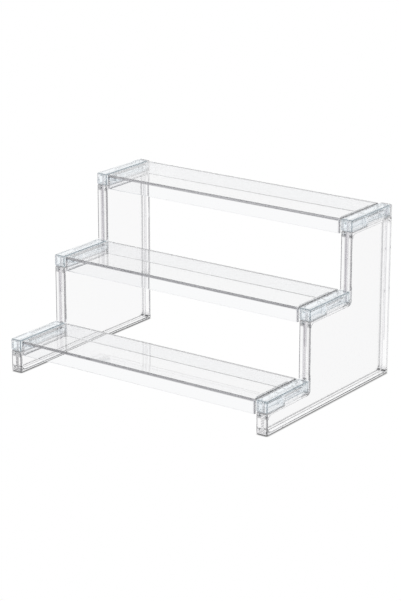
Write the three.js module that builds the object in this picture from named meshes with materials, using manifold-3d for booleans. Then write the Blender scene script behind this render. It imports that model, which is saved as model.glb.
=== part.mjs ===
// Clear three-step display riser. Two stepped side panels carry three shelves, and each shelf hangs between
// two end clips that press down onto the treads of the panels.
// Millimetres, +Z up, front towards -Y. The origin is the middle of the footprint, on the floor.

import * as THREE from 'three';
import { mergeVertices } from 'three/addons/utils/BufferGeometryUtils.js';
import Module from 'manifold-3d';

// Whole object
const WIDTH = 300; // across the outer faces of the two side panels
const TREAD_DEPTH = 68.6; // front to back of one step
const FIRST_STEP_HEIGHT = 33.3; // floor to the top of the lowest shelf
const STEP_RISE = 68.4; // from one shelf top to the next
const LEVELS = ['bottom', 'middle', 'top'];

// Side panels
const PANEL_WIDTH = 12; // across the rim
const WEB = 3.6; // the clear sheet in the middle of the rim
const RIM = 2.8; // thickness of the rim around the web
const PANEL_CORNER = 1.6; // radius of the outer corners
const PANEL_ROUND = 1.2; // radius of the edges of the rim
const RECESS_CORNER = 4.5; // radius of the corners where the rim meets the web
const RECESS_LIP = 0.5; // chamfer around the mouth of each recess
const STEP_FILLET = 2; // radius where a tread meets the riser behind it
const REAR_POST = 3.4; // thickness of the post that stands up behind the top clip

// Shelves
const SHELF_HEIGHT = 14.8; // top face to the lower edge of the aprons
const SHELF_PLATE = 2.8; // thickness of the top plate
const APRON = 2.5; // thickness of the front and rear aprons
const SHELF_END = 2.2; // thickness of the two end walls
const SHELF_CORNER = 1.2; // radius of the front-to-back edges of shelves and clips
const SHELF_ROUND = 0.8; // radius of the edges of the front and rear faces of shelves and clips

// End clips
const CLIP_HEIGHT = 11.4; // top face to underside
const CLIP_PLATE = 2.8; // thickness of the top
const CLIP_WALL = 2.2; // thickness of the outer and inner walls
const CLIP_SLOT = 1.3; // open slot between a clip and its shelf
const DIVIDER = 2; // cross walls inside a clip
const REAR_BLOCK = 10; // closed stretch of a clip behind the latch

// Oblong tenon of a clip, which plugs into the end wall of the shelf
const TENON_HEIGHT = 4.6;
const TENON_DROP = 3.1; // top face to the tenon
const TENON_INSET = 7.9; // front and rear of the clip to the ends of the tenon
const TENON_REACH = 5; // how far it stands into the shelf

// Snap between a tread and a clip
const TONGUE = 2.8; // thickness of the tongue that locates the clip
const TONGUE_LENGTH = 23;
const NUB_LENGTH = 3; // snap nub near the front of the tongue
const LATCH = 2.4; // thickness of the latch plate
const LATCH_CORNER = 0.9; // radius of its top edges
const CATCH_RIB = 1.6; // thickness of the rib that the latch plate grips
const CATCH_SPACE = 1.2; // latch plate to the catch rib
const BEAD = 0.5; // how far each snap bead stands out
const BEAD_HEIGHT = 1.4;
const SNAP_ROUND = 0.5; // radius of the edges of tongues, latch plates and tenons

// Clearances
const FIT = 0.3; // between pieces that plug or drop into one another
const REAR_GAP = 0.4; // between a shelf and the riser behind it

const ARC_STEPS = 6; // straight pieces in a quarter turn of an outline
const ROUND_STEPS = 3; // straight pieces in a quarter turn of a rounded edge
const JOIN = 0.5; // how far a piece reaches into the one it is joined to
const PAST = 1; // how far a cut runs past the face it opens

const STEPS = LEVELS.length;
const DEPTH = STEPS * TREAD_DEPTH + REAR_POST;
const FRONT = -DEPTH / 2;
const REAR = DEPTH / 2;
const SHELF_DEPTH = TREAD_DEPTH - REAR_GAP;
const SHELF_HALF = WIDTH / 2 - PANEL_WIDTH - CLIP_SLOT;
const PANEL_MIDDLE = PANEL_WIDTH / 2;
const TONGUE_HEIGHT = CLIP_HEIGHT - CLIP_PLATE;

// Distances in from the outer face of a side panel
const CELL_INSIDE = PANEL_WIDTH - CLIP_WALL;
const CATCH_RIB_OUTSIDE = LATCH + CATCH_SPACE;

// Distances back from the front of a shelf
const TONGUE_START = APRON + FIT;
const TONGUE_END = TONGUE_START + TONGUE_LENGTH;
const NUB_START = TONGUE_START + TONGUE_LENGTH / 3;
const FRONT_CELL_END = TONGUE_END + FIT;
const LATCH_CELL_START = FRONT_CELL_END + DIVIDER;
const LATCH_CELL_END = SHELF_DEPTH - REAR_BLOCK;
const REAR_CELL_START = LATCH_CELL_END + DIVIDER;
const BACK_WALL = SHELF_DEPTH - APRON;

const stepFront = (step) => FRONT + step * TREAD_DEPTH;
const shelfTop = (step) => FIRST_STEP_HEIGHT + step * STEP_RISE;
const treadHeight = (step) => shelfTop(step) - CLIP_HEIGHT - FIT;

// Turns that lay an extrusion along X and along Y
const ALONG_X = new THREE.Vector3(1, 0, 0);
const ALONG_Y = new THREE.Vector3(0, 1, 0);
const ALONG_Z = new THREE.Vector3(0, 0, 1);
const TURN_ACROSS = new THREE.Matrix4().makeBasis(ALONG_Y, ALONG_Z, ALONG_X);
const TURN_BACK = new THREE.Matrix4().makeBasis(ALONG_Z, ALONG_X, ALONG_Y);

const wasm = await Module();
wasm.setup();

// Shape tools

// Turns a closed three.js geometry into a solid that can be joined and cut.
function solid(geometry) {
  geometry.deleteAttribute('normal');
  geometry.deleteAttribute('uv');
  const merged = mergeVertices(geometry);
  return new wasm.Manifold(new wasm.Mesh({
    numProp: 3,
    vertProperties: new Float32Array(merged.attributes.position.array),
    triVerts: new Uint32Array(merged.index.array),
  }));
}

// Turns a finished solid into a named mesh with a clear plastic of its own.
function clearPiece(name, colour, finished) {
  const { vertProperties, triVerts } = finished.getMesh();
  const geometry = new THREE.BufferGeometry();
  geometry.setAttribute('position', new THREE.BufferAttribute(vertProperties, 3));
  geometry.setIndex(new THREE.BufferAttribute(triVerts, 1));
  const plastic = new THREE.MeshStandardMaterial({
    color: colour, roughness: 0.06, metalness: 0, transparent: true, opacity: 0.22,
  });
  const mesh = new THREE.Mesh(geometry, plastic);
  mesh.name = name;
  return mesh;
}

function block([x0, x1], [y0, y1], [z0, z1]) {
  const geometry = new THREE.BoxGeometry(x1 - x0, y1 - y0, z1 - z0);
  geometry.translate((x0 + x1) / 2, (y0 + y1) / 2, (z0 + z1) / 2);
  return solid(geometry);
}

// Points of an outline with right-angled corners, each corner given as [u, v, radius].
function roundedOutline(corners) {
  const points = [];
  corners.forEach(([u, v, radius], index) => {
    const corner = new THREE.Vector2(u, v);
    const [beforeU, beforeV] = corners.at(index - 1);
    const [afterU, afterV] = corners[(index + 1) % corners.length];
    if (radius === 0) {
      points.push(corner);
      return;
    }
    const back = new THREE.Vector2(beforeU - u, beforeV - v).normalize();
    const ahead = new THREE.Vector2(afterU - u, afterV - v).normalize();
    for (let step = 0; step <= ARC_STEPS; step += 1) {
      const turn = step / ARC_STEPS * Math.PI / 2;
      points.push(corner.clone()
        .addScaledVector(back, radius * (1 - Math.sin(turn)))
        .addScaledVector(ahead, radius * (1 - Math.cos(turn))));
    }
  });
  return points;
}

// Points of a rectangle with one radius at all four corners.
function roundedRectangle([u0, u1], [v0, v1], radius) {
  return roundedOutline([[u0, v0, radius], [u1, v0, radius], [u1, v1, radius], [u0, v1, radius]]);
}

// An outline carried along its normal, with its end edges rounded when a radius is given.
function extrude(points, [start, end], radius) {
  return new THREE.ExtrudeGeometry(new THREE.Shape(points), {
    depth: end - start - 2 * radius,
    bevelEnabled: radius > 0,
    bevelThickness: radius,
    bevelSize: radius,
    bevelOffset: -radius,
    bevelSegments: ROUND_STEPS,
  }).translate(0, 0, start + radius);
}

// An outline carried along its normal, spread outwards, and tapering back to the outline past both ends.
function flare(points, [start, end], spread) {
  return new THREE.ExtrudeGeometry(new THREE.Shape(points), {
    depth: end - start, bevelEnabled: true, bevelThickness: spread, bevelSize: spread, bevelSegments: 1,
  }).translate(0, 0, start);
}

// An outline in (x, y) carried up Z.
function extrudeUp(points, zRange, radius = 0) {
  return solid(extrude(points, zRange, radius));
}

// An outline in (y, z) carried along X.
function extrudeAcross(points, xRange, radius = 0) {
  return solid(extrude(points, xRange, radius).applyMatrix4(TURN_ACROSS));
}

// An outline in (z, x) carried along Y.
function extrudeBack(points, yRange, radius = 0) {
  return solid(extrude(points, yRange, radius).applyMatrix4(TURN_BACK));
}

// X of a point so far in from the outer face of the panel on one side, -1 for left and 1 for right.
const inFrom = (side, distance) => side * (WIDTH / 2 - distance);

// X range between two distances in from the outer face.
function across(side, near, far) {
  return [inFrom(side, near), inFrom(side, far)].sort((a, b) => a - b);
}

// A snap bead: a triangular ridge along Y, from its root on a face out to its tip.
function bead(rootX, tipX, yRange, middleZ) {
  return extrudeBack([
    new THREE.Vector2(middleZ - BEAD_HEIGHT / 2, rootX),
    new THREE.Vector2(middleZ + BEAD_HEIGHT / 2, rootX),
    new THREE.Vector2(middleZ, tipX),
  ], yRange);
}

// Side panels

// Corners in (y, z) of the treads and risers from the top step down, drawn in by an inset.
function stairs(inset, cornerRadius, filletRadius) {
  const corners = [];
  for (let step = STEPS - 1; step >= 0; step -= 1) {
    corners.push([stepFront(step) + inset, treadHeight(step) - inset, cornerRadius]);
    if (step > 0) corners.push([stepFront(step) + inset, treadHeight(step - 1) - inset, filletRadius]);
  }
  return corners;
}

// Outline in (y, z) of a side panel, with the post behind the top clip.
function panelOutline() {
  const top = STEPS - 1;
  return roundedOutline([
    [FRONT, 0, PANEL_CORNER],
    [REAR, 0, PANEL_CORNER],
    [REAR, shelfTop(top), PANEL_CORNER],
    [REAR - REAR_POST, shelfTop(top), PANEL_CORNER],
    [REAR - REAR_POST, treadHeight(top), STEP_FILLET],
    ...stairs(0, PANEL_CORNER, STEP_FILLET),
  ]);
}

// Outline in (y, z) of the mouth of a recess, inside the rim.
function mouthOutline() {
  return roundedOutline([
    [FRONT + RIM, RIM, RECESS_CORNER],
    [REAR - RIM, RIM, RECESS_CORNER],
    [REAR - RIM, treadHeight(STEPS - 1) - RIM, RECESS_CORNER],
    ...stairs(RIM, RECESS_CORNER, STEP_FILLET + RIM),
  ]);
}

// The tongue on the front half of a tread, round at both ends, with a snap nub on its outer side.
function tongue(side, step) {
  const xRange = across(side, PANEL_MIDDLE - TONGUE / 2, PANEL_MIDDLE + TONGUE / 2);
  const yRange = [stepFront(step) + TONGUE_START, stepFront(step) + TONGUE_END];
  const top = treadHeight(step) + TONGUE_HEIGHT;
  const outline = roundedRectangle(xRange, yRange, TONGUE / 2);
  const plate = extrudeUp(outline, [treadHeight(step) - SNAP_ROUND, top], SNAP_ROUND);
  const face = PANEL_MIDDLE - TONGUE / 2;
  const nubRange = [stepFront(step) + NUB_START, stepFront(step) + NUB_START + NUB_LENGTH];
  const nub = bead(inFrom(side, face + JOIN), inFrom(side, face - BEAD), nubRange, top - BEAD_HEIGHT);
  return plate.add(nub);
}

// The latch plate on the rear half of a tread, flush with the outer face, with its bead facing in.
function latchPlate(side, step) {
  const yRange = [stepFront(step) + LATCH_CELL_START + FIT, stepFront(step) + LATCH_CELL_END - FIT];
  const top = treadHeight(step) + TONGUE_HEIGHT;
  const foot = treadHeight(step) - RIM;
  const outline = roundedRectangle([foot, top], across(side, 0, LATCH), LATCH_CORNER);
  const plate = extrudeBack(outline, yRange, SNAP_ROUND);
  const ridge = bead(inFrom(side, LATCH - JOIN), inFrom(side, LATCH + BEAD), yRange, top - BEAD_HEIGHT / 2);
  return plate.add(ridge);
}

function sidePanel(side) {
  const mouth = mouthOutline();
  const recessDepth = (PANEL_WIDTH - WEB) / 2;
  const lip = (xRange) => solid(flare(mouth, xRange, RECESS_LIP).applyMatrix4(TURN_ACROSS));
  let panel = extrudeAcross(panelOutline(), across(side, 0, PANEL_WIDTH), PANEL_ROUND)
    .subtract(extrudeAcross(mouth, across(side, -PAST, recessDepth)))
    .subtract(extrudeAcross(mouth, across(side, PANEL_WIDTH - recessDepth, PANEL_WIDTH + PAST)))
    .subtract(lip(across(side, -PAST, 0)))
    .subtract(lip(across(side, PANEL_WIDTH, PANEL_WIDTH + PAST)));
  for (let step = 0; step < STEPS; step += 1) {
    panel = panel.add(tongue(side, step)).add(latchPlate(side, step));
  }
  return panel;
}

// Shelves and end clips, drawn with the front of the shelf at y = 0 and its top face at z = 0

// Outline in (y, z) of a clip's tenon, grown by a clearance all round.
function tenonOutline(clearance) {
  const radius = TENON_HEIGHT / 2 + clearance;
  return roundedRectangle(
    [TENON_INSET - clearance, SHELF_DEPTH - TENON_INSET + clearance],
    [-TENON_DROP - TENON_HEIGHT - clearance, -TENON_DROP + clearance],
    radius,
  );
}

function shelf() {
  const profile = roundedRectangle([-SHELF_HEIGHT, 0], [-SHELF_HALF, SHELF_HALF], SHELF_CORNER);
  const inside = SHELF_HALF - SHELF_END;
  return extrudeBack(profile, [0, SHELF_DEPTH], SHELF_ROUND)
    .subtract(block([-inside, inside], [APRON, BACK_WALL], [-SHELF_HEIGHT - PAST, -SHELF_PLATE]))
    .subtract(extrudeAcross(tenonOutline(FIT), [-WIDTH / 2, WIDTH / 2]));
}

// The hollows of a clip: over the tongue, around the latch plate, and behind it.
function clipHollows(side) {
  const zRange = [-CLIP_HEIGHT - PAST, -CLIP_PLATE];
  const frontCell = block(across(side, CLIP_WALL, CELL_INSIDE), [APRON, FRONT_CELL_END], zRange);
  const latchCell = block(across(side, -PAST, CELL_INSIDE), [LATCH_CELL_START, LATCH_CELL_END], zRange);
  const rearCell = block(across(side, CLIP_WALL, CELL_INSIDE), [REAR_CELL_START, BACK_WALL], zRange);
  return frontCell.add(latchCell).add(rearCell);
}

// The rib that the latch plate grips, with its bead facing out below the latch plate's.
function catchRib(side) {
  const yRange = [LATCH_CELL_START - JOIN, LATCH_CELL_END + JOIN];
  const foot = -CLIP_HEIGHT + BEAD_HEIGHT;
  const near = CATCH_RIB_OUTSIDE;
  const rib = block(across(side, near, near + CATCH_RIB), yRange, [foot, -CLIP_PLATE + JOIN]);
  const ridge = bead(inFrom(side, near + JOIN), inFrom(side, near - BEAD), yRange, foot + BEAD_HEIGHT / 2);
  return rib.add(ridge);
}

function endClip(side) {
  const profile = roundedRectangle([-CLIP_HEIGHT, 0], across(side, 0, PANEL_WIDTH), SHELF_CORNER);
  const clearOfFillet = roundedOutline([
    [0, -CLIP_HEIGHT, 0],
    [SHELF_DEPTH, -CLIP_HEIGHT, STEP_FILLET + FIT],
    [SHELF_DEPTH, 0, 0],
    [0, 0, 0],
  ]);
  const tenonRange = across(side, CELL_INSIDE, PANEL_WIDTH + CLIP_SLOT + TENON_REACH);
  const tenon = extrudeAcross(tenonOutline(0), tenonRange, SNAP_ROUND);
  return extrudeBack(profile, [0, SHELF_DEPTH], SHELF_ROUND)
    .intersect(extrudeAcross(clearOfFillet, across(side, 0, PANEL_WIDTH)))
    .subtract(clipHollows(side))
    .add(catchRib(side))
    .add(tenon);
}

// Assembly

const PANEL_COLOUR = '#f1f0f5';
const SHELF_COLOUR = '#f0f3f5';
const CLIP_COLOUR = '#e9f1f4';

const riser = new THREE.Group();
riser.add(clearPiece('left_side_panel', PANEL_COLOUR, sidePanel(-1)));
riser.add(clearPiece('right_side_panel', PANEL_COLOUR, sidePanel(1)));
LEVELS.forEach((level, step) => {
  const pieces = [
    clearPiece(`${level}_shelf`, SHELF_COLOUR, shelf()),
    clearPiece(`${level}_left_clip`, CLIP_COLOUR, endClip(-1)),
    clearPiece(`${level}_right_clip`, CLIP_COLOUR, endClip(1)),
  ];
  for (const piece of pieces) {
    piece.position.set(0, stepFront(step), shelfTop(step));
    riser.add(piece);
  }
});

export default riser;
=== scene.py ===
"""Looks of the clear three-step display riser: plastics, floor, studio light and camera."""

import math

import bpy
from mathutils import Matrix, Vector

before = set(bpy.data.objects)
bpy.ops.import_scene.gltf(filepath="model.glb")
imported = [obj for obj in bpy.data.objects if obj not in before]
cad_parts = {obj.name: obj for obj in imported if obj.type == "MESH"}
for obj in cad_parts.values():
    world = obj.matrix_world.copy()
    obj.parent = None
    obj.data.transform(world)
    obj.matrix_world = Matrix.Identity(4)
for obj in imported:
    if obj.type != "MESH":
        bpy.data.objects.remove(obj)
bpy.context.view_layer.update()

MM = 0.001

# Colour sockets of a Mix node, whose names its other sockets share
COLOUR_A, COLOUR_B, COLOUR_RESULT = 6, 7, 2


def box_of(name):
    """Lowest and highest corner of one piece, in its own coordinates."""
    places = [vertex.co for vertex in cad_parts[name].data.vertices]
    return Vector(map(min, zip(*places))), Vector(map(max, zip(*places)))


# Camera: where it looks, from how far and at which angle
CAMERA_TARGET = Vector((14.7, -18.9, 80.6)) * MM
CAMERA_DISTANCE = 2068.9 * MM
CAMERA_AZIMUTH = math.radians(35.79)
CAMERA_ELEVATION = math.radians(17.96)
CAMERA_REACH = 50.0
FRAME_HEIGHT_PX = 601
FOCAL_LENGTH_PX = 2174.8
SENSOR_MM = 36.0

# Studio: brightness by the sine of the height above the horizon
REFLECTED_STUDIO = ((0.0, 1.0), (0.5, 1.0), (0.8, 0.7), (1.0, 0.5))
STUDIO_THROUGH_PLASTIC = ((0.0, 1.0), (0.55, 1.0), (0.65, 0.25), (1.0, 0.18))
LAMP_PLACE = (0.0, -0.3, 2.2)
LAMP_SIZE = 1.6
LAMP_POWER = 12.0

# Floor
FLOOR_SIZE = 12.0
FLOOR_DROP = 0.3 * MM
FLOOR_IN_REFLECTIONS = 0.5
SHADOW_REACH = 2.0 * MM
SHADOW_DEPTH = 0.9
SHADOW_SAMPLES = 16
OPEN_FLOOR = 0.9

# Plastic: tints of the faces, painted shade on the radii, and how strongly depth tints it
PLASTIC_IOR = 1.55
PANEL_TINT = (0.985, 0.984, 0.988)
SHELF_TINT = (0.977, 0.981, 0.989)
CLIP_TINT = (0.965, 0.986, 1.0)
# Painted shade: dark base colours on the radii, standing in for the dark lines that refraction draws
# along clear plastic's edges
PANEL_EDGE_PAINTED_SHADE = (0.28, 0.28, 0.29)
SHELF_EDGE_PAINTED_SHADE = (0.35, 0.35, 0.37)
CLIP_EDGE_PAINTED_SHADE = (0.35, 0.42, 0.46)
PANEL_DENSITY = 1.0
SHELF_DENSITY = 3.0
CLIP_DENSITY = 1.5
DEPTH_TINT = 0.5
HAZE = 0.02
HAZE_SCALE = 140.0
CLEAR_NOISE, HAZY_NOISE = 0.35, 0.7
EDGE_HAZE = 0.02
WAVE_STRENGTH = 0.1
WAVE_HEIGHT = 0.1 * MM
WAVE_SCALE = 50.0
NOISE_DETAIL = 4.0

# Shading and light paths
SMOOTH_BELOW = math.radians(32)
WELD_DISTANCE = 0.002 * MM
FLAT_FACE_WEIGHT = 100
LIGHT_BOUNCES = 160

# How squarely a normal follows an axis on a radius, on a flat face and on a face taken to look that way
ROUND, FLAT = 0.97, 0.995
SQUARELY = 0.9

# Places on the pieces, from their meshes
SHELF_LOW, SHELF_HIGH = box_of("bottom_shelf")
CLIP_LOW, CLIP_HIGH = box_of("bottom_right_clip")
PANEL_LOW, PANEL_HIGH = box_of("right_side_panel")
FIRST_SHELF_TOP = SHELF_HIGH.z
STEP_RISE = box_of("middle_shelf")[1].z - FIRST_SHELF_TOP
SHELF_HEIGHT = SHELF_HIGH.z - SHELF_LOW.z
SHELF_HALF = SHELF_HIGH.x
CLIP_HEIGHT = CLIP_HIGH.z - CLIP_LOW.z
WEB_MIDDLE = (PANEL_LOW.x + PANEL_HIGH.x) / 2
REAR = PANEL_HIGH.y

# Walls, radii and gaps that the meshes' bounds don't give, as in the CAD
WEB = 3.6 * MM
RIM = 2.8 * MM
PANEL_ROUND = 1.2 * MM
SHELF_PLATE = 2.8 * MM
SHELF_END = 2.2 * MM
SHELF_CORNER = 1.2 * MM
FIT = 0.3 * MM
NEAR = 0.2 * MM


def add_camera():
    azimuth, elevation = CAMERA_AZIMUTH, CAMERA_ELEVATION
    away = Vector((
        math.sin(azimuth) * math.cos(elevation),
        -math.cos(azimuth) * math.cos(elevation),
        math.sin(elevation),
    ))
    data = bpy.data.cameras.new("camera")
    data.sensor_width = SENSOR_MM
    data.lens = FOCAL_LENGTH_PX * SENSOR_MM / FRAME_HEIGHT_PX
    data.clip_end = CAMERA_REACH
    camera = bpy.data.objects.new("camera", data)
    camera.location = CAMERA_TARGET + CAMERA_DISTANCE * away
    camera.rotation_euler = away.to_track_quat("Z", "Y").to_euler()
    bpy.context.scene.collection.objects.link(camera)
    bpy.context.scene.camera = camera


def grey_ramp(tree, value, stops):
    """A colour ramp of greys, driven by the value."""
    ramp = tree.nodes.new("ShaderNodeValToRGB")
    elements = ramp.color_ramp.elements
    for position, _ in stops[1:-1]:
        elements.new(position)
    for element, (position, level) in zip(elements, stops):
        element.position = position
        element.color = (level, level, level, 1)
    tree.links.new(value, ramp.inputs["Fac"])
    return ramp.outputs["Color"]


def background(tree, colour):
    """World light of a colour, or white where no colour is given."""
    node = tree.nodes.new("ShaderNodeBackground")
    if colour is not None:
        tree.links.new(colour, node.inputs["Color"])
    else:
        node.inputs["Color"].default_value = (1, 1, 1, 1)
    return node.outputs["Background"]


def mix_shaders(tree, factor, first, second):
    mix = tree.nodes.new("ShaderNodeMixShader")
    tree.links.new(factor, mix.inputs["Fac"])
    tree.links.new(first, mix.inputs[1])
    tree.links.new(second, mix.inputs[2])
    return mix.outputs["Shader"]


def add_world():
    """White behind the object, and a studio that grows darker overhead for what the plastic shows."""
    world = bpy.data.worlds.new("studio")
    world.use_nodes = True
    bpy.context.scene.world = world
    tree = world.node_tree
    tree.nodes.clear()
    output = tree.nodes.new("ShaderNodeOutputWorld")
    path = tree.nodes.new("ShaderNodeLightPath")
    coords = tree.nodes.new("ShaderNodeTexCoord")
    height = split_vector(tree, coords.outputs["Generated"])["Z"]
    reflected = background(tree, grey_ramp(tree, height, REFLECTED_STUDIO))
    through = background(tree, grey_ramp(tree, height, STUDIO_THROUGH_PLASTIC))
    studio = mix_shaders(tree, path.outputs["Is Transmission Ray"], reflected, through)
    seen = mix_shaders(tree, path.outputs["Is Camera Ray"], studio, background(tree, None))
    tree.links.new(seen, output.inputs["Surface"])


def math_node(tree, operation, first, second=0.0):
    """A Math node on two inputs, each a socket or a number."""
    node = tree.nodes.new("ShaderNodeMath")
    node.operation = operation
    for socket, value in zip(node.inputs, (first, second)):
        if isinstance(value, (int, float)):
            socket.default_value = value
        else:
            tree.links.new(value, socket)
    return node.outputs["Value"]


def map_range(tree, value, from_range, to_range):
    node = tree.nodes.new("ShaderNodeMapRange")
    node.inputs["From Min"].default_value, node.inputs["From Max"].default_value = from_range
    node.inputs["To Min"].default_value, node.inputs["To Max"].default_value = to_range
    tree.links.new(value, node.inputs["Value"])
    return node.outputs["Result"]


def split_vector(tree, vector):
    node = tree.nodes.new("ShaderNodeSeparateXYZ")
    tree.links.new(vector, node.inputs["Vector"])
    return node.outputs


def floor_material():
    """White floor with a thin soft shadow where the riser stands on it."""
    material = bpy.data.materials.new("floor_white")
    material.use_nodes = True
    tree = material.node_tree
    tree.nodes.clear()
    output = tree.nodes.new("ShaderNodeOutputMaterial")
    path = tree.nodes.new("ShaderNodeLightPath")
    nearby = tree.nodes.new("ShaderNodeAmbientOcclusion")
    nearby.samples = SHADOW_SAMPLES
    nearby.inputs["Distance"].default_value = SHADOW_REACH
    shaded = map_range(tree, nearby.outputs["AO"], (0.0, OPEN_FLOOR), (1 - SHADOW_DEPTH, 1.0))
    unshaded = map_range(tree, path.outputs["Is Transmission Ray"], (0, 1), (FLOOR_IN_REFLECTIONS, 1.0))
    level = tree.nodes.new("ShaderNodeMix")
    tree.links.new(path.outputs["Is Camera Ray"], level.inputs["Factor"])
    tree.links.new(unshaded, level.inputs["A"])
    tree.links.new(shaded, level.inputs["B"])
    glow = tree.nodes.new("ShaderNodeEmission")
    tree.links.new(level.outputs["Result"], glow.inputs["Strength"])
    tree.links.new(glow.outputs["Emission"], output.inputs["Surface"])
    return material


def add_floor():
    half = FLOOR_SIZE / 2
    mesh = bpy.data.meshes.new("floor")
    outline = ((-half, -half), (half, -half), (half, half), (-half, half))
    corners = [(x, y, -FLOOR_DROP) for x, y in outline]
    mesh.from_pydata(corners, [], [(0, 1, 2, 3)])
    mesh.materials.append(floor_material())
    floor = bpy.data.objects.new("floor", mesh)
    bpy.context.scene.collection.objects.link(floor)


def add_lamp():
    """One large soft lamp overhead."""
    data = bpy.data.lights.new("overhead", "AREA")
    data.energy = LAMP_POWER
    data.size = LAMP_SIZE
    lamp = bpy.data.objects.new("overhead", data)
    lamp.location = LAMP_PLACE
    lamp.rotation_euler = (-Vector(LAMP_PLACE)).to_track_quat("-Z", "Y").to_euler()
    bpy.context.scene.collection.objects.link(lamp)


class Surface:
    """Which way a surface looks and where it is, as sockets that pick out places on a piece."""

    def __init__(self, tree, coords):
        self.tree = tree
        geometry = tree.nodes.new("ShaderNodeNewGeometry")
        size = tree.nodes.new("ShaderNodeVectorMath")
        size.operation = "ABSOLUTE"
        tree.links.new(geometry.outputs["True Normal"], size.inputs[0])
        self.along = split_vector(tree, size.outputs["Vector"])
        place = split_vector(tree, coords)
        self.from_middle = math_node(tree, "ABSOLUTE", place["X"])
        self.back = place["Y"]
        self.height = place["Z"]
        self.radius = self.moulded_radius()
        self.below_top = self.below_shelf_top()

    def moulded_radius(self):
        """1 on the moulded radii, 0 on the flat faces."""
        across = math_node(self.tree, "MAXIMUM", self.along["X"], self.along["Y"])
        squarest = math_node(self.tree, "MAXIMUM", across, self.along["Z"])
        return map_range(self.tree, squarest, (ROUND, FLAT), (1.0, 0.0))

    def below_shelf_top(self):
        """How far a place is below the nearest shelf top."""
        lower = math_node(self.tree, "SUBTRACT", FIRST_SHELF_TOP + STEP_RISE / 2, self.height)
        lower = math_node(self.tree, "FLOORED_MODULO", lower, STEP_RISE)
        return math_node(self.tree, "SUBTRACT", lower, STEP_RISE / 2)

    def facing(self, axis):
        return self.more(self.along[axis], SQUARELY)

    def more(self, value, limit):
        return math_node(self.tree, "GREATER_THAN", value, limit)

    def less(self, value, limit):
        return math_node(self.tree, "LESS_THAN", value, limit)

    def either(self, first, second):
        return math_node(self.tree, "MAXIMUM", first, second)

    def overlap(self, first, *others):
        """1 where every one of the given places is."""
        for other in others:
            first = math_node(self.tree, "MULTIPLY", first, other)
        return first


def web_end(surface):
    """Front and rear faces of a side panel above the first step, where the web is seen end on."""
    beyond_first = surface.more(surface.height, FIRST_SHELF_TOP)
    inside_edge = surface.more(surface.from_middle, WEB_MIDDLE - WEB / 2)
    outside_edge = surface.less(surface.from_middle, WEB_MIDDLE + WEB / 2)
    return surface.overlap(beyond_first, inside_edge, outside_edge, surface.facing("Y"))


def snap_edge(surface):
    """Small radii of the tongues and latch plates that stand up inside the clips."""
    under_top = surface.more(surface.below_top, 0.0)
    return surface.overlap(under_top, surface.less(surface.below_top, CLIP_HEIGHT), surface.radius)


def tread_edge(surface):
    """Radii round a tread, just under the clip."""
    under_clip = surface.more(surface.below_top, CLIP_HEIGHT)
    at_tread = surface.less(surface.below_top, CLIP_HEIGHT + FIT + PANEL_ROUND)
    return surface.overlap(under_clip, at_tread, surface.radius)


def rear_rim_edge(surface):
    """Radii of the rear rim of a side panel."""
    return surface.overlap(surface.more(surface.back, REAR - RIM - PANEL_ROUND), surface.radius)


def rear_recess_edge(surface):
    """Those radii of the rear rim that run along the recess."""
    return surface.overlap(rear_rim_edge(surface), surface.less(surface.back, REAR - PANEL_ROUND))


def foot_edge(surface):
    """Radii round the foot of a side panel, where the painted contact shadow goes."""
    return surface.overlap(surface.less(surface.height, PANEL_ROUND), surface.radius)


def plate_face(surface):
    """Upper and lower faces of a shelf's top plate."""
    return surface.overlap(surface.less(surface.below_top, SHELF_HEIGHT / 2), surface.facing("Z"))


def plate_end(surface):
    """Front and rear ends of a shelf's top plate."""
    return surface.overlap(surface.less(surface.below_top, SHELF_PLATE), surface.facing("Y"))


def light_shelf_edge(surface):
    """Radii along the lower edges of a shelf and along its two ends."""
    low = surface.more(surface.below_top, SHELF_HEIGHT / 2)
    at_end = surface.more(surface.from_middle, SHELF_HALF - SHELF_CORNER)
    return surface.overlap(surface.either(low, at_end), surface.radius)


def wall_foot(surface):
    """Undersides of a shelf's aprons and end walls, where painted shade goes."""
    return surface.overlap(surface.more(surface.below_top, SHELF_HEIGHT - NEAR), surface.facing("Z"))


def wall_end(surface):
    """Front and rear ends of a shelf's end walls."""
    return surface.overlap(surface.more(surface.from_middle, SHELF_HALF - SHELF_END), surface.facing("Y"))


def tenon_face(surface):
    """Upper and lower faces of a clip's tenon."""
    return surface.overlap(surface.less(surface.from_middle, SHELF_HALF), surface.facing("Z"))


def mix_colours(tree, factor, first, second):
    mix = tree.nodes.new("ShaderNodeMix")
    mix.data_type = "RGBA"
    tree.links.new(factor, mix.inputs["Factor"])
    for socket, colour in ((mix.inputs[COLOUR_A], first), (mix.inputs[COLOUR_B], second)):
        if isinstance(colour, tuple):
            socket.default_value = (*colour, 1)
        else:
            tree.links.new(colour, socket)
    return mix.outputs[COLOUR_RESULT]


def noise(tree, coords, scale):
    node = tree.nodes.new("ShaderNodeTexNoise")
    node.inputs["Scale"].default_value = scale
    node.inputs["Detail"].default_value = NOISE_DETAIL
    tree.links.new(coords, node.inputs["Vector"])
    return node.outputs["Fac"]


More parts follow.
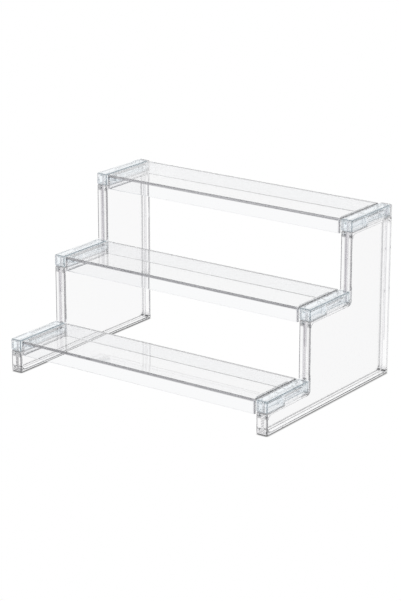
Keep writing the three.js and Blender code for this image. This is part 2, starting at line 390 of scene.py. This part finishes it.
def clear_plastic(name, tint, edge_painted_shade, density, painted_shade_places):
    """Clear moulded plastic with painted shade on its radii and given places, a faint haze and a slow
    wave in its faces.

    Where places with painted shade overlap, the later one wins.
    """
    material = bpy.data.materials.new(name)
    material.use_nodes = True
    tree = material.node_tree
    shader = tree.nodes["Principled BSDF"]
    coords = tree.nodes.new("ShaderNodeTexCoord").outputs["Object"]
    surface = Surface(tree, coords)
    # Painted shade: a darker base colour on the radii, then on each listed place
    colour = mix_colours(tree, surface.radius, tint, edge_painted_shade)
    for places, place_painted_shade in painted_shade_places:
        colour = mix_colours(tree, places(surface), colour, place_painted_shade)
    tree.links.new(colour, shader.inputs["Base Color"])
    patches = noise(tree, coords, HAZE_SCALE)
    haze = map_range(tree, patches, (CLEAR_NOISE, HAZY_NOISE), (0.0, HAZE))
    edge_haze = math_node(tree, "MULTIPLY", surface.radius, EDGE_HAZE)
    tree.links.new(math_node(tree, "ADD", haze, edge_haze), shader.inputs["Roughness"])
    wave = tree.nodes.new("ShaderNodeBump")
    wave.inputs["Strength"].default_value = WAVE_STRENGTH
    wave.inputs["Distance"].default_value = WAVE_HEIGHT
    tree.links.new(noise(tree, coords, WAVE_SCALE), wave.inputs["Height"])
    tree.links.new(wave.outputs["Normal"], shader.inputs["Normal"])
    shader.inputs["Transmission Weight"].default_value = 1.0
    shader.inputs["IOR"].default_value = PLASTIC_IOR
    absorption = tree.nodes.new("ShaderNodeVolumeAbsorption")
    absorption.inputs["Color"].default_value = (*(DEPTH_TINT * channel for channel in tint), 1)
    absorption.inputs["Density"].default_value = density
    tree.links.new(absorption.outputs["Volume"], tree.nodes["Material Output"].inputs["Volume"])
    return material


def panel_plastic():
    return clear_plastic("panel_plastic", PANEL_TINT, PANEL_EDGE_PAINTED_SHADE, PANEL_DENSITY, [
        # Painted shade: mid grey on the web's ends, for the dark band where the web is seen end on
        (web_end, (0.52, 0.51, 0.54)),
        # Painted shade, lighter, on the radii of the tongues and latch plates
        (snap_edge, (0.95, 0.95, 0.97)),
        # Painted shade on the radii round each tread, under the clip
        (tread_edge, (0.55, 0.55, 0.56)),
        # Painted shade on the rear rim's radii, as dark as on the other radii
        (rear_rim_edge, PANEL_EDGE_PAINTED_SHADE),
        # Painted shade, lighter, on the rim's radii along the recess
        (rear_recess_edge, (0.7, 0.7, 0.71)),
        # Painted shadow: near black on the foot's radii, for the dark contact line on the floor
        (foot_edge, (0.03, 0.03, 0.03)),
    ])


def shelf_plastic():
    return clear_plastic("shelf_plastic", SHELF_TINT, SHELF_EDGE_PAINTED_SHADE, SHELF_DENSITY, [
        # Painted shade: the plate's upper and lower faces a little darker
        (plate_face, (0.91, 0.912, 0.917)),
        # Painted shade, lighter, on the radii along the lower edges and the ends
        (light_shelf_edge, (0.95, 0.95, 0.97)),
        # Painted shade: dark grey on the plate's front and rear ends, for the band where the plate is
        # seen end on
        (plate_end, (0.42, 0.42, 0.44)),
        # Painted shade: near black on the undersides of the aprons and end walls, for the shade under the
        # shelf that the walls show
        (wall_foot, (0.2, 0.2, 0.21)),
        # Painted shade on the front and rear ends of the end walls
        (wall_end, (0.65, 0.65, 0.675)),
    ])


def clip_plastic():
    return clear_plastic("clip_plastic", CLIP_TINT, CLIP_EDGE_PAINTED_SHADE, CLIP_DENSITY, [
        # Painted shade: dark grey on the tenon's upper and lower faces, for the dark band at the slot
        (tenon_face, (0.4, 0.4, 0.41)),
    ])


def smooth_radii():
    """Geometry nodes that shade the moulded radii smooth and keep the sharp edges sharp."""
    group = bpy.data.node_groups.new("smooth_radii", "GeometryNodeTree")
    for way in ("INPUT", "OUTPUT"):
        group.interface.new_socket("Geometry", in_out=way, socket_type="NodeSocketGeometry")
    nodes, links = group.nodes, group.links
    entry = nodes.new("NodeGroupInput")
    leave = nodes.new("NodeGroupOutput")
    angle = nodes.new("GeometryNodeInputMeshEdgeAngle")
    gentle = nodes.new("FunctionNodeCompare")
    gentle.operation = "LESS_THAN"
    gentle.inputs["B"].default_value = SMOOTH_BELOW
    faces = nodes.new("GeometryNodeSetShadeSmooth")
    edges = nodes.new("GeometryNodeSetShadeSmooth")
    edges.domain = "EDGE"
    links.new(entry.outputs[0], faces.inputs["Geometry"])
    links.new(faces.outputs["Geometry"], edges.inputs["Geometry"])
    links.new(angle.outputs["Unsigned Angle"], gentle.inputs["A"])
    links.new(gentle.outputs["Result"], edges.inputs["Shade Smooth"])
    links.new(edges.outputs["Geometry"], leave.inputs[0])
    return group


def dress_pieces():
    plastics = {"panel": panel_plastic(), "shelf": shelf_plastic(), "clip": clip_plastic()}
    radii = smooth_radii()
    for name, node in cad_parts.items():
        node.data.materials.clear()
        node.data.materials.append(plastics[name.split("_")[-1]])
        weld = node.modifiers.new("weld", "WELD")
        weld.merge_threshold = WELD_DISTANCE
        smooth = node.modifiers.new("smooth_radii", "NODES")
        smooth.node_group = radii
        flats = node.modifiers.new("flat_faces", "WEIGHTED_NORMAL")
        flats.keep_sharp = True
        flats.weight = FLAT_FACE_WEIGHT


bpy.context.scene.view_settings.view_transform = "Standard"
light_paths = bpy.context.scene.cycles
light_paths.max_bounces = LIGHT_BOUNCES
light_paths.glossy_bounces = LIGHT_BOUNCES
light_paths.transmission_bounces = LIGHT_BOUNCES
add_camera()
add_world()
add_floor()
add_lamp()
dress_pieces()
